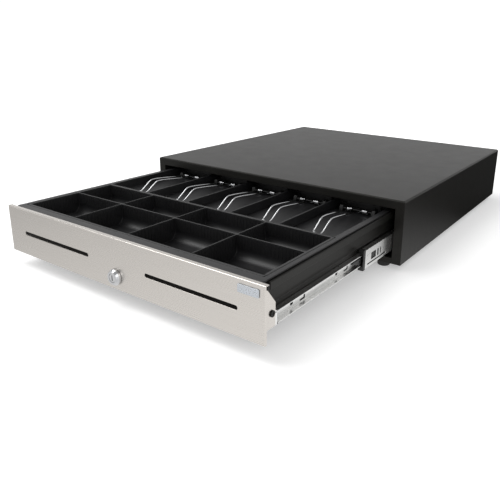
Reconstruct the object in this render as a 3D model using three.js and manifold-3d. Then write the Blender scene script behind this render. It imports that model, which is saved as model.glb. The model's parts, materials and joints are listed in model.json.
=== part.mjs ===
// A steel cash drawer, shown open: a powder-coated case on rubber feet, a drawer with a folded
// stainless front on ball-bearing slides, a till tray with coin cups and note bays, spring clips,
// a cam lock, and the latch, solenoid and ejector at the back.
//
// Millimetres. +Z is up, -Y is the side that the drawer opens towards, X = 0 is the plane of
// symmetry, Z = 0 is the surface that the feet stand on. Everything is laid out with the front
// of the case at y = 0 and the drawer shut; groups then carry the moving pieces out to the
// open position, and the whole model is shifted so that Y = 0 is the middle of its length.
import * as THREE from 'three';
import { mergeVertices } from 'three/addons/utils/BufferGeometryUtils.js';
import Module from 'manifold-3d';

const wasm = await Module();
wasm.setup();

// ---------------------------------------------------------------- driving dimensions
const GAP = 0.3;                 // clearance between touching pieces
const SLIDE_GAP = 0.4;           // clearance round a piece that lifts out of another
const BEYOND = 5;                // how far a cutter runs past the surface that it cuts
const BITE = 1;                  // how far two joined blocks run into each other

const FOOT = { height: 9, radius: 9, x: 200, frontY: 14, rearY: 428, recess: 2.5, recessR: 3.4 };

const CASE_W = 460;
const CASE_D = 470;
const CASE_TOP = 100;
const CASE_SHEET = 1.2;
const CASE_BEND_R = 3;           // bend along the cover's two long top edges
const FRONT_BEND_R = 2.5;        // bend along the cover's front top edge
const OPENING_HALF = 217;        // half the width of the opening in the case's front
const OPENING_TOP = 87.5;
const SILL_TOP = 17.5;
const SILL_DEPTH = 6;
const LIP_RETURN = 12;           // how far the front lips are folded back into the case
const BASE_TOP = FOOT.height + CASE_SHEET;
const CASE_INNER = CASE_W / 2 - CASE_SHEET;
const BASE_HALF = CASE_INNER - GAP;

const SOCKET = { x: -150, z: 35, half: [8, 6.5], depth: 18, mouthDepth: 14, wall: 2.1, keyHalf: 2.5 };

const EXTENSION = 290;           // how far the drawer stands out of the case
const MID_SHARE = 0.36;          // the middle slide member's share of the drawer's travel

const PANEL_HALF = 215;
const PANEL_Z = [19, 82.5];
const PANEL_SHEET = 1.2;
const PANEL_RETURN = 6;          // folded edge along the panel's top and bottom
const SIDE_RETURN = 3;           // narrow folded edge along the panel's sides
const EAR = {                    // the side flange that carries the panel's screw
  depth: 16.8, bottom: 34.8, top: 60.3, slopeTop: 77, slopeY: 3.9, screw: [10.7, 50.4], holeR: 2.3,
};
const BADGE = { x: [182, 208], z: [68.5, 77.5], sheet: 1, corner: 1 };
const SCREW = {
  headR: 3.6, headH: 1.5, shankR: 1.8, shankL: 3, crossHalf: 2, crossWidth: 0.8, crossDepth: 0.7,
};

const SLOT = { x: 115, z: 50, length: 132, height: 4.8, panGrow: 3 };

const LOCK = {
  z: 35, proud: 6, bezelR: 10, bezelChamfer: 2.2, barrelR: 8.4, plugR: 5.2, plugInset: 0.4,
  nutR: 12, nutH: 3.5, keyHalf: [0.7, 3.6], keyDepth: 5, tailHalf: 2.6,
  camY: 11.6, camSheet: 1.8, camLength: 20, camHalf: 5.5, camCorner: 3,
};
const KEEPER = { half: 16, y: 8.5, sheet: 2, depth: 16, padSheet: 1.5, top: 20 };

const PAN_HALF = 205.5;          // half the width over the drawer pan's side walls
const PAN_SHEET = 1;
const PAN_Z0 = 26;
const PAN_TOP = 79.7;
const PAN_Y = [15.5, 331];
const PAN_RIM_HALF = 209.5;      // over the pan's turned-out rim
const PAN_RIM_DROP = 8;
const PAN_BEAD = { bottom: 52.6, low: 54.2, high: 55.6, top: 58.4, proud: 1.2 };
const EAR_BRACKET = {            // the strip behind the panel whose turned ends meet the panel's ears
  sheet: 1, foot: 33.4, hipY: 15.9, hipZ: 38, rearY: 22, shoulderZ: 47, shoulderY: 17.2,
  frontY: 5, top: 57.5, inset: 0.5, holeR: 2.1, stripY: 14.2, stripZ: [53.4, 57],
};

const STRIKER = {
  half: 14, sheet: 1.5, z: [34, 60], armHalf: 5, armZ: [40, 42], reach: 17, hookY: 14, hookZ: 30,
};

const TRAY_HALF = 206.5;         // half the width over the tray's flange
const TRAY_Y = [7, 327];
const TRAY_TOP = 82;
const TRAY_WALL = 2;
const TRAY_CORNER = 4;
const TUB_HALF = 201;            // half the width of the tray's tub under the flange
const TUB_Y = [17.2, 323];
const NOTE_Y0 = 160;             // front of the note bays
const NOTE_FLOOR = 68.5;
const NOTE_BAYS = 5;
const NOTE_PITCH = 79;
const DIVIDER = { half: 1, slopeY: 4, slopeZ: 2 };

const COIN_HALF = 198;
const COIN_Y = [20, 156.5];
const COIN_Z0 = 54;
const COIN_WALL = 1.8;
const COIN_RIM = { half: 199.8, y: [18.4, 158.2], z0: 80.6 };  // the rim that the insert hangs by
const COIN_ROW_SPLIT = 97.6;     // the wall between the front and back rows of coin cups
const COIN_DIVIDERS = [-101.5, 0, 101.5];
const COIN_CORNER = 3;
const CUP_SCOOP_R = 11;

const CLIP = {                   // the note clips, measured from their hinge line
  y: 297, z: 73, pinR: 1.5, wireR: 1.1, sleeveR: 2.6, sleeveHalf: 9, postX: 25, postHalf: 2.5,
  baseY: [5, 18], baseSheet: 1.6, tailY: 4, tailH: 3,
};
const CLIP_LEG = [               // one leg of the wire loop, from the sleeve to the nose
  [8, -2, 0.5], [7.6, -30, 5.2], [7.2, -62, 9.4], [6.8, -83, 11.2], [6.6, -90, 9.8],
  [6.4, -98, 4.8], [6.2, -106, -0.4], [5.6, -111.5, -2.4], [4, -115.5, -1.2],
];
const CLIP_NOSE = [0, -117, 0.2];

const RAIL_Z = 41;               // centre line of the slides
const RAIL_Y = [24, 352];
const RAIL_SHEET = 1.2;
const CAGE_SHEET = 0.8;
const CABINET_RAIL = { x: [209, 218.6], half: 15.5 };
const MID_RAIL = { x: [208.6, 216], half: 12.3 };
const DRAWER_RAIL = { x: [206, 213.4], half: 7.2 };
const OUTER_CAGE = { x: [209.5, 217.05], half: 13.9, y: [90, 286] };
const INNER_CAGE = { x: [208.8, 214.45], half: 10.6, y: [132, 246] };
const BALL_PITCH = 16;
const BALL_POCKET = 5;
const BRACKET = { half: 9, step: 3, inset: 10 };
const MID_WINDOWS = [[16, 14], [34, 4], [42, 3], [268, 26]];  // start along the rail, and length
const MID_WINDOW_HALF = 4.6;
const MID_SLIT = { y: [6, 60], z: [-9, -7.2] };
const MID_BOSS = { y: [4, 12], half: 5, proud: 0.25 };
const DRAWER_RAIL_HOLES = [56.8, 151.7, 246, 330];
const DRAWER_RAIL_HOLE_R = 3;
const DRAWER_RAIL_LANCES = [77.7, 174.4, 268];
const LANCE = { half: [5, 4.4], tongue: [-6, 2.2], tongueHalf: 2.4 };
const BUMPER = { length: 6, inner: 1, outer: 1.4 };
const LEVER = { pivotY: 200, reach: 19, bossR: 4.6, holeR: 1.3 };

const LATCH = { y: 380, z: 40, half: 3, legHalf: 2.5, bossR: 5, boreR: 2.4, pinR: 2, pinHalf: 8,
  footTop: -18, footBottom: -23, reach: 42.5, hookTop: -11.5, hookY: [-38, -40.5], hookChinZ: -16 };
const CHEEK = { x: [5, 6.5], half: 9, rise: 8, floorHalf: 14, sheet: 1.5 };
const SOLENOID = { y: [392, 430], z: 24, half: 14, sheet: 1.5, rise: 13, coilR: 11.5, boreR: 4.6,
  rodR: 4, capR: 5, capL: 3, capGap: 0.6, rodL: 38 };
const SWITCH = { x: [24, 30.5], y: [344, 364], height: 10, leafInset: 1.5,
  leaf: [[345, 9], [346.5, 9], [346.5, 10.5], [334, 13.2], [334, 12.2], [345, 10]] };
const EJECTOR = { x: 60, z: 30, y: [360, 460], tubeR: 7, boreR: 4.5, endWall: 4, footInset: 10,
  saddleHalf: 5, saddleTop: 24.8, padHalf: 14, padSheet: 2, headR: 6, headL: 4, headGap: 0.6,
  rodR: 3.9, rodEnd: 402 };
const SPRING = { y: [403.6, 453.4], radius: 3.4, wireR: 0.5, turns: 7, pointsPerTurn: 8 };

// ---------------------------------------------------------------- materials
const finish = (color, roughness, metalness) =>
  new THREE.MeshStandardMaterial({ color, roughness, metalness });
const MATERIAL = {
  coating: finish(0x262626, 0.55, 0.2),
  stainless: finish(0xcfcac3, 0.32, 1.0),
  zinc: finish(0xc9cac6, 0.35, 1.0),
  chrome: finish(0xe4e4e4, 0.12, 1.0),
  tray: finish(0x1b1b1c, 0.5, 0.0),
  nylon: finish(0x101010, 0.45, 0.0),
  rubber: finish(0x161616, 0.85, 0.0),
  copper: finish(0x8c4a23, 0.4, 0.8),
  label: finish(0xd8dadc, 0.4, 0.1),
};

// ---------------------------------------------------------------- solids
function flipFaces(index) {
  for (let i = 0; i < index.length; i += 3) {
    [index[i], index[i + 1]] = [index[i + 1], index[i]];
  }
}

function toSolid(geometry) {
  const bare = geometry.clone();
  bare.deleteAttribute('normal');
  bare.deleteAttribute('uv');
  const merged = mergeVertices(bare, 1e-4);
  return new wasm.Manifold(new wasm.Mesh({
    numProp: 3,
    vertProperties: new Float32Array(merged.attributes.position.array),
    triVerts: new Uint32Array(merged.index.array),
  }));
}

function toGeometry(solid) {
  const { vertProperties, triVerts, numProp } = solid.getMesh();
  const geometry = new THREE.BufferGeometry();
  const position = new Float32Array((vertProperties.length / numProp) * 3);
  for (let i = 0; i < position.length / 3; i += 1) {
    position.set(vertProperties.subarray(i * numProp, i * numProp + 3), i * 3);
  }
  geometry.setAttribute('position', new THREE.BufferAttribute(position, 3));
  geometry.setIndex(new THREE.BufferAttribute(new Uint32Array(triVerts), 1));
  return geometry;
}

function mirrored(geometry) {
  const copy = geometry.clone().scale(-1, 1, 1);
  flipFaces(copy.index.array);
  return copy;
}

const join = (...solids) => solids.reduce((whole, piece) => whole.add(piece));
const cut = (solid, ...cutters) => cutters.reduce((rest, piece) => rest.subtract(piece), solid);

function block([x0, x1], [y0, y1], [z0, z1]) {
  const geometry = new THREE.BoxGeometry(x1 - x0, y1 - y0, z1 - z0);
  return toSolid(geometry.translate((x0 + x1) / 2, (y0 + y1) / 2, (z0 + z1) / 2));
}

// The three ways an outline is laid in space: its two axes, then the direction it is pushed in.
const PLANES = {
  xy: new THREE.Matrix4(),
  yz: new THREE.Matrix4().set(0, 0, 1, 0, 1, 0, 0, 0, 0, 1, 0, 0, 0, 0, 0, 1),
  xz: new THREE.Matrix4().set(1, 0, 0, 0, 0, 0, -1, 0, 0, 1, 0, 0, 0, 0, 0, 1),
};

function prism(shape, plane, from, to, curveSegments = 6) {
  const geometry = new THREE.ExtrudeGeometry(shape, {
    depth: to - from, steps: 1, bevelEnabled: false, curveSegments,
  });
  geometry.applyMatrix4(PLANES[plane]);
  const shift = { xy: [0, 0, from], yz: [from, 0, 0], xz: [0, to, 0] }[plane];
  return toSolid(geometry.translate(...shift));
}

const outline = (...points) => new THREE.Shape(points.map(([a, b]) => new THREE.Vector2(a, b)));

function roundedRect([a0, a1], [b0, b1], r) {
  const shape = new THREE.Shape();
  shape.moveTo(a0 + r, b0);
  shape.absarc(a1 - r, b0 + r, r, -Math.PI / 2, 0);
  shape.absarc(a1 - r, b1 - r, r, 0, Math.PI / 2);
  shape.absarc(a0 + r, b1 - r, r, Math.PI / 2, Math.PI);
  shape.absarc(a0 + r, b0 + r, r, Math.PI, Math.PI * 1.5);
  return shape;
}

// A rod along x, y or z. `at` gives the two other coordinates, in alphabetical order.
function rod(axis, radius, from, to, at, sides = 24) {
  const geometry = new THREE.CylinderGeometry(radius, radius, to - from, sides);
  const middle = (from + to) / 2;
  if (axis === 'x') geometry.rotateZ(-Math.PI / 2).translate(middle, at[0], at[1]);
  if (axis === 'y') geometry.translate(at[0], middle, at[1]);
  if (axis === 'z') geometry.rotateX(Math.PI / 2).translate(at[0], at[1], middle);
  return toSolid(geometry);
}

// A turned piece standing along z, from its (radius, height) profile, bottom to top.
function turned(points, segments = 24) {
  const profile = points.map(([r, h]) => new THREE.Vector2(r, h));
  const geometry = new THREE.LatheGeometry(profile, segments).rotateX(Math.PI / 2);
  return toSolid(geometry);
}

// A wire of round section along a smooth curve through the points.
function wire(points, radius, steps, sides) {
  const path = new THREE.CatmullRomCurve3(points.map((p) => new THREE.Vector3(...p)));
  const section = new THREE.Shape();
  for (let i = 0; i < sides; i += 1) {
    const angle = (2 * Math.PI * i) / sides;
    section[i ? 'lineTo' : 'moveTo'](radius * Math.cos(angle), radius * Math.sin(angle));
  }
  return toSolid(new THREE.ExtrudeGeometry(section, { steps, extrudePath: path, bevelEnabled: false }));
}

function add(group, name, solid, material, side = 1) {
  const geometry = toGeometry(solid);
  const mesh = new THREE.Mesh(side < 0 ? mirrored(geometry) : geometry, material);
  mesh.name = name;
  group.add(mesh);
  return mesh;
}

const SIDES = [['left', -1], ['right', 1]];

// The stretch from `inner` to `outer` on one side of the plane of symmetry.
const span = (side, inner, outer) => (side > 0 ? [inner, outer] : [-outer, -inner]);

// ---------------------------------------------------------------- case
// The section of the folded cover: two legs under a flat top with bent corners.
function coverSection(half, top, radius) {
  const shape = new THREE.Shape();
  shape.moveTo(-half, FOOT.height);
  shape.lineTo(half, FOOT.height);
  shape.absarc(half - radius, top - radius, radius, 0, Math.PI / 2);
  shape.absarc(-half + radius, top - radius, radius, Math.PI / 2, Math.PI);
  return shape;
}

function caseCover() {
  const outside = prism(coverSection(CASE_W / 2, CASE_TOP, CASE_BEND_R), 'xz', 0, CASE_D);
  const inside = prism(coverSection(CASE_INNER, CASE_TOP - CASE_SHEET, CASE_BEND_R - CASE_SHEET),
    'xz', CASE_SHEET, CASE_D + BEYOND);
  const belowInside = block([-CASE_INNER, CASE_INNER], [CASE_SHEET, CASE_D + BEYOND],
    [FOOT.height - BEYOND, FOOT.height + BITE]);
  const opening = block([-OPENING_HALF, OPENING_HALF], [-BEYOND, CASE_SHEET + BEYOND],
    [FOOT.height - BEYOND, OPENING_TOP]);
  const bendLine = CASE_TOP - FRONT_BEND_R;
  const frontEdge = cut(
    block([-CASE_W, CASE_W], [-BEYOND, FRONT_BEND_R], [bendLine, CASE_TOP + BEYOND]),
    rod('x', FRONT_BEND_R, -CASE_W, CASE_W, [FRONT_BEND_R, bendLine]));
  const lipReturn = block([-OPENING_HALF - CASE_SHEET, OPENING_HALF + CASE_SHEET],
    [CASE_SHEET / 2, LIP_RETURN], [OPENING_TOP, OPENING_TOP + CASE_SHEET]);
  const postReturns = SIDES.map(([, side]) =>
    block(span(side, OPENING_HALF, OPENING_HALF + CASE_SHEET), [CASE_SHEET / 2, LIP_RETURN],
      [BASE_TOP + GAP, OPENING_TOP + CASE_SHEET]));
  return join(cut(outside, inside, belowInside, opening, frontEdge), lipReturn, ...postReturns);
}

function caseBase() {
  const sillHalf = OPENING_HALF - GAP;
  const floor = block([-BASE_HALF, BASE_HALF], [CASE_SHEET + GAP, CASE_D - GAP],
    [FOOT.height, BASE_TOP]);
  const tongue = block([-sillHalf, sillHalf], [0, CASE_SHEET + BITE], [FOOT.height, BASE_TOP]);
  const sill = block([-sillHalf, sillHalf], [0, CASE_SHEET], [FOOT.height, SILL_TOP]);
  const sillReturn = block([-sillHalf, sillHalf], [0, SILL_DEPTH],
    [SILL_TOP - CASE_SHEET, SILL_TOP]);
  const flanges = SIDES.map(([, side]) =>
    block(span(side, BASE_HALF - CASE_SHEET, BASE_HALF), [LIP_RETURN + GAP, CASE_D - LIP_RETURN],
      [FOOT.height, FOOT.height + LIP_RETURN]));
  return join(floor, tongue, sill, sillReturn, ...flanges);
}

function rearPanel() {
  const y1 = CASE_D - GAP;
  const z0 = BASE_TOP + GAP;
  const z1 = CASE_TOP - CASE_SHEET - GAP;
  const corner = CASE_BEND_R;
  const shape = outline([-BASE_HALF, z0], [BASE_HALF, z0], [BASE_HALF, z1 - corner],
    [BASE_HALF - corner, z1], [corner - BASE_HALF, z1], [-BASE_HALF, z1 - corner]);
  const plate = prism(shape, 'xz', y1 - CASE_SHEET, y1);
  const inside = BASE_HALF - corner - BITE;
  const topFlange = block([-inside, inside], [y1 - LIP_RETURN, y1], [z1 - CASE_SHEET, z1]);
  const [a, b] = SOCKET.half.map((half) => half + GAP);
  const hole = block([SOCKET.x - a, SOCKET.x + a], [y1 - BEYOND, y1 + BEYOND],
    [SOCKET.z - b, SOCKET.z + b]);
  return cut(join(plate, topFlange), hole);
}

function cableSocket() {
  const [a, b] = SOCKET.half;
  const y1 = CASE_D - GAP;
  const depth = [y1 - SOCKET.mouthDepth, y1 + BEYOND];
  const body = block([-a, a], [y1 - SOCKET.depth, y1], [-b, b]);
  const mouth = block([SOCKET.wall - a, a - SOCKET.wall], depth, [SOCKET.wall - b, b - SOCKET.wall - BITE]);
  const keyway = block([-SOCKET.keyHalf, SOCKET.keyHalf], depth, [0, b - SOCKET.wall]);
  return cut(body, mouth, keyway);
}

function foot() {
  const r = FOOT.radius;
  const top = FOOT.height - GAP;
  return turned([[0, FOOT.recess], [FOOT.recessR, FOOT.recess], [FOOT.recessR, 0], [r - 1.5, 0],
    [r - 0.4, 0.8], [r, 2.2], [r - 0.6, top], [0, top]]);
}

// The stand-off that carries a slide on the case's side wall.
function railBracket() {
  const web = CABINET_RAIL.x[1] + GAP;
  const t = CASE_SHEET;
  const { half, step, inset } = BRACKET;
  const section = outline([web, RAIL_Z - half], [web + t, RAIL_Z - half], [web + t, RAIL_Z + half],
    [BASE_HALF - t, RAIL_Z + half], [BASE_HALF - t, RAIL_Z + step], [BASE_HALF, RAIL_Z + step],
    [BASE_HALF, RAIL_Z + half + t], [web, RAIL_Z + half + t]);
  return prism(section, 'xz', RAIL_Y[0] + inset, RAIL_Y[1] - inset);
}

const caseGroup = new THREE.Group();
add(caseGroup, 'case_cover', caseCover(), MATERIAL.coating);
add(caseGroup, 'case_base', caseBase(), MATERIAL.coating);
add(caseGroup, 'rear_panel', rearPanel(), MATERIAL.coating);
add(caseGroup, 'cable_socket', cableSocket(), MATERIAL.nylon).position.set(SOCKET.x, 0, SOCKET.z);
for (const [end, y] of [['front', FOOT.frontY], ['rear', FOOT.rearY]]) {
  for (const [name, side] of SIDES) {
    add(caseGroup, `foot_${end}_${name}`, foot(), MATERIAL.rubber).position.set(side * FOOT.x, y, 0);
  }
}

// ---------------------------------------------------------------- slides
// One ball-bearing slide is three nested channels with a ball cage in each of the two gaps.
// The sections below are for the right side, with x growing outwards.

// A channel with its web at the outer side (out = true) or the inner side.
function channel({ x: [x0, x1], half }, out, sheet) {
  const web = out ? x1 - sheet : x0 + sheet;
  const open = out ? x0 : x1;
  const back = out ? x1 : x0;
  const z = (value) => RAIL_Z + value;
  return outline([back, z(-half)], [open, z(-half)], [open, z(-half + sheet)],
    [web, z(-half + sheet)], [web, z(half - sheet)], [open, z(half - sheet)],
    [open, z(half)], [back, z(half)]);
}

const cabinetRail = () => prism(channel(CABINET_RAIL, true, RAIL_SHEET), 'xz', ...RAIL_Y);

function midRail() {
  const body = prism(channel(MID_RAIL, true, RAIL_SHEET), 'xz', ...RAIL_Y);
  const [y0] = RAIL_Y;
  const through = [MID_RAIL.x[1] - RAIL_SHEET - BITE, MID_RAIL.x[1] + BEYOND];
  const windows = MID_WINDOWS.map(([start, length]) =>
    block(through, [y0 + start, y0 + start + length], [RAIL_Z - MID_WINDOW_HALF, RAIL_Z + MID_WINDOW_HALF]));
  const slit = block(through, MID_SLIT.y.map((y) => y0 + y), MID_SLIT.z.map((z) => RAIL_Z + z));
  const boss = block([MID_RAIL.x[1] - RAIL_SHEET / 2, MID_RAIL.x[1] + MID_BOSS.proud],
    MID_BOSS.y.map((y) => y0 + y), [RAIL_Z - MID_BOSS.half, RAIL_Z + MID_BOSS.half]);
  return cut(join(body, boss), ...windows, slit);
}

// The drawer's own member, with its screw holes and the half-moon lances punched in its web.
function drawerRail() {
  const body = prism(channel(DRAWER_RAIL, false, RAIL_SHEET), 'xz', ...RAIL_Y);
  const through = [DRAWER_RAIL.x[0] - BITE, DRAWER_RAIL.x[0] + RAIL_SHEET + BITE];
  const holes = DRAWER_RAIL_HOLES.map((y) =>
    rod('x', DRAWER_RAIL_HOLE_R, ...through, [y, RAIL_Z], 12));
  const lances = DRAWER_RAIL_LANCES.map((y) => {
    const [a, b] = LANCE.half;
    const window = block(through, [y - a, y + a], [RAIL_Z - b, RAIL_Z + b]);
    const tongue = block([through[0] - BITE, through[1] + BITE], LANCE.tongue.map((end) => y + end),
      [RAIL_Z - LANCE.tongueHalf, RAIL_Z + LANCE.tongueHalf]);
    return window.subtract(tongue);
  });
  return cut(body, ...holes, ...lances);
}

// A C-shaped ball cage, with a row of pockets through its two flanges.
function ballCage(cage) {
  const { x: [x0, x1], half, y: [y0, y1] } = cage;
  const body = prism(channel(cage, true, CAGE_SHEET), 'xz', y0, y1);
  const count = Math.floor((y1 - y0) / BALL_PITCH - 0.5);
  const flanges = [-1, 1].map((end) => span(end, half - CAGE_SHEET - 0.4, half + BITE));
  const pockets = Array.from({ length: count }, (_, i) => {
    const y = y0 + BALL_PITCH * (i + 0.6);
    return flanges.map(([z0, z1]) =>
      block([x0 + 1.5, x1 - 2.5], [y, y + BALL_POCKET], [RAIL_Z + z0, RAIL_Z + z1]));
  });
  return cut(body, ...pockets.flat());
}

// The black nylon end piece on the front of the middle member, open round the drawer member.
function midBumper() {
  const y = [RAIL_Y[0] - BUMPER.length, RAIL_Y[0] - GAP];
  const body = prism(channel(MID_RAIL, true, RAIL_SHEET), 'xz', ...y);
  const pads = [-1, 1].map((end) => {
    const [z0, z1] = span(end, DRAWER_RAIL.half + BUMPER.inner, MID_RAIL.half + BUMPER.outer);
    return block(MID_RAIL.x, y, [RAIL_Z + z0, RAIL_Z + z1]);
  });
  return join(body, ...pads);
}

// The lever that lets the drawer member out of the slide: a round boss with a long pointed tip.
function releaseLever() {
  const { reach, bossR, holeR } = LEVER;
  const x = [DRAWER_RAIL.x[0] + RAIL_SHEET + GAP, DRAWER_RAIL.x[1] - GAP];
  const shape = new THREE.Shape();
  shape.absarc(0, 0, bossR, -Math.PI * 0.4, Math.PI * 0.5);
  shape.quadraticCurveTo(-reach / 2, bossR - 1, -reach, bossR);
  shape.lineTo(-reach - 1, bossR / 2);
  shape.quadraticCurveTo(-reach / 2, -bossR / 2, -2, 0.4 - bossR);
  return cut(prism(shape, 'yz', ...x), rod('x', holeR, x[0] - BITE, x[1] + BITE, [0, 0], 12));
}

function travelling(share) {
  const group = new THREE.Group();
  group.position.y = -EXTENSION * share;
  return group;
}

const midGroup = travelling(MID_SHARE);
const outerCageGroup = travelling(MID_SHARE / 2);
const innerCageGroup = travelling((1 + MID_SHARE) / 2);
const drawerGroup = travelling(1);

for (const [name, side] of SIDES) {
  add(caseGroup, `rail_bracket_${name}`, railBracket(), MATERIAL.zinc, side);
  add(caseGroup, `cabinet_rail_${name}`, cabinetRail(), MATERIAL.zinc, side);
  add(outerCageGroup, `outer_ball_cage_${name}`, ballCage(OUTER_CAGE), MATERIAL.zinc, side);
  add(midGroup, `mid_rail_${name}`, midRail(), MATERIAL.zinc, side);
  add(midGroup, `mid_bumper_${name}`, midBumper(), MATERIAL.nylon, side);
  add(innerCageGroup, `inner_ball_cage_${name}`, ballCage(INNER_CAGE), MATERIAL.nylon, side);
  add(drawerGroup, `drawer_rail_${name}`, drawerRail(), MATERIAL.zinc, side);
  add(drawerGroup, `release_lever_${name}`, releaseLever(), MATERIAL.nylon, side)
    .position.set(0, LEVER.pivotY, RAIL_Z);
}

// ---------------------------------------------------------------- drawer front
// A slot with round ends, or an outline that keeps clear of it by `grow`.
function slotShape(centre, grow) {
  const r = SLOT.height / 2 + grow;
  const half = (SLOT.length - SLOT.height) / 2;
  const shape = new THREE.Shape();
  shape.absarc(centre + half, SLOT.z, r, -Math.PI / 2, Math.PI / 2);
  shape.absarc(centre - half, SLOT.z, r, Math.PI / 2, Math.PI * 1.5);
  return shape;
}

// The folded front is cut from one blank: its inside, the space over and under the two ears at
// its ends, the two slots, the lock's hole and the screws' holes.
function frontPanel() {
  const t = PANEL_SHEET;
  const far = EAR.depth + BEYOND;
  const [z0, z1] = PANEL_Z;
  const blank = block([-PANEL_HALF, PANEL_HALF], [0, EAR.depth], PANEL_Z);
  const inside = block([t - PANEL_HALF, PANEL_HALF - t], [t, far], [z0 + t, z1 - t]);
  const aboveEars = prism(outline([EAR.depth + BITE, EAR.top - BITE], [EAR.slopeY, EAR.slopeTop],
    [t, EAR.slopeTop + 1.5], [t, z1 - t], [PANEL_RETURN, z1 - t], [PANEL_RETURN, z1 + BITE],
    [far, z1 + BITE], [far, EAR.top]), 'yz', -CASE_W, CASE_W);
  const belowEars = block([-CASE_W, CASE_W], [PANEL_RETURN, far], [0, EAR.bottom]);
  const besideBottom = SIDES.map(([, side]) =>
    block(span(side, PANEL_HALF - 3, PANEL_HALF + 3), [SIDE_RETURN, far], [0, EAR.bottom]));
  const screwHoles = rod('x', EAR.holeR, -CASE_W, CASE_W, EAR.screw, 16);
  const slots = SIDES.map(([, side]) => prism(slotShape(side * SLOT.x, 0), 'xz', -BEYOND, BEYOND, 5));
  const lockHole = rod('y', LOCK.barrelR + GAP, -BEYOND, BEYOND, [0, LOCK.z], 28);
  return cut(blank, inside, aboveEars, belowEars, ...besideBottom, screwHoles, ...slots, lockHole);
}

function panelScrew() {
  const [y, z] = EAR.screw;
  const top = PANEL_HALF + SCREW.headH;
  const head = rod('x', SCREW.headR, PANEL_HALF + GAP, top, [y, z], 16);
  const shank = rod('x', SCREW.shankR, PANEL_HALF - SCREW.shankL, PANEL_HALF + BITE, [y, z], 12);
  const depth = [top - SCREW.crossDepth, top + BITE];
  const long = SCREW.crossHalf;
  const short = SCREW.crossWidth / 2;
  return cut(join(head, shank),
    block(depth, [y - long, y + long], [z - short, z + short]),
    block(depth, [y - short, y + short], [z - long, z + long]));
}

const badge = () =>
  prism(roundedRect(BADGE.x, BADGE.z, BADGE.corner), 'xz', -GAP - BADGE.sheet, -GAP, 3);

add(drawerGroup, 'front_panel', frontPanel(), MATERIAL.stainless);
add(drawerGroup, 'badge', badge(), MATERIAL.label);
for (const [name, side] of SIDES) {
  add(drawerGroup, `panel_screw_${name}`, panelScrew(), MATERIAL.coating, side);
}

// ---------------------------------------------------------------- lock
function lockBody() {
  const front = -LOCK.proud;
  const chamfer = LOCK.bezelChamfer;
  const end = LOCK.camY - 0.8;
  const profile = [[0, front], [LOCK.bezelR - chamfer, front], [LOCK.bezelR, front + 3],
    [LOCK.bezelR, -GAP], [LOCK.barrelR, -GAP], [LOCK.barrelR, end], [0, end]];
  const nutMiddle = PANEL_SHEET + GAP + LOCK.nutH / 2;
  const nut = new THREE.CylinderGeometry(LOCK.nutR, LOCK.nutR, LOCK.nutH, 6).translate(0, nutMiddle, 0);
  const body = new THREE.LatheGeometry(profile.map(([r, y]) => new THREE.Vector2(r, y)), 32);
  const bore = rod('y', LOCK.plugR + GAP, front - BEYOND, LOCK.camY + BEYOND, [0, 0]);
  return join(toSolid(body), toSolid(nut)).subtract(bore);
}

function lockPlug() {
  const half = LOCK.tailHalf;
  const [keyX, keyZ] = LOCK.keyHalf;
  const face = LOCK.plugInset - LOCK.proud;
  const body = rod('y', LOCK.plugR, face, LOCK.camY - GAP, [0, 0]);
  const tail = block([-half, half], [LOCK.camY - BITE, LOCK.camY + LOCK.camSheet + 0.8], [-half, half]);
  const keyway = block([-keyX, keyX], [face - BITE, face + LOCK.keyDepth], [-keyZ, keyZ]);
  return cut(join(body, tail), keyway);
}

function lockCam() {
  const half = LOCK.camHalf;
  const shape = roundedRect([-half, LOCK.camLength], [-half, half], LOCK.camCorner);
  const hole = LOCK.tailHalf + GAP;
  const square = block([-hole, hole], [0, 2 * LOCK.camY], [-hole, hole]);
  return prism(shape, 'xz', LOCK.camY, LOCK.camY + LOCK.camSheet, 4).subtract(square);
}

const LOCK_PIECES = {
  lock_body: [lockBody, MATERIAL.chrome],
  lock_plug: [lockPlug, MATERIAL.chrome],
  lock_cam: [lockCam, MATERIAL.zinc],
};
for (const [name, [make, material]] of Object.entries(LOCK_PIECES)) {
  add(drawerGroup, name, make(), material).position.set(0, 0, LOCK.z);
}

// The keeper behind the sill that the cam drops behind when the lock is turned.
function lockKeeper() {
  const { half, y, sheet, depth, padSheet, top } = KEEPER;
  const z0 = BASE_TOP + GAP;
  const upright = block([-half, half], [y, y + sheet], [z0, top]);
  const pad = block([-half, half], [y, y + depth], [z0, z0 + padSheet]);
  return join(upright, pad);
}
add(caseGroup, 'lock_keeper', lockKeeper(), MATERIAL.zinc);

// ---------------------------------------------------------------- drawer pan
// The pan's section: lower walls, a pressed bead, set-in upper walls and a rim turned out and down.
function panSection() {
  const { bottom, low, high, top, proud } = PAN_BEAD;
  const rimInside = PAN_RIM_HALF - PAN_SHEET;
  const right = [[PAN_HALF, PAN_Z0], [PAN_HALF, bottom], [PAN_HALF + proud, low],
    [PAN_HALF + proud, high], [PAN_HALF, top], [PAN_HALF, PAN_TOP - PAN_SHEET],
    [rimInside, PAN_TOP - PAN_SHEET], [rimInside, PAN_TOP - PAN_RIM_DROP],
    [PAN_RIM_HALF, PAN_TOP - PAN_RIM_DROP], [PAN_RIM_HALF, PAN_TOP]];
  return outline(...right, ...right.map(([x, z]) => [-x, z]).reverse());
}

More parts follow.
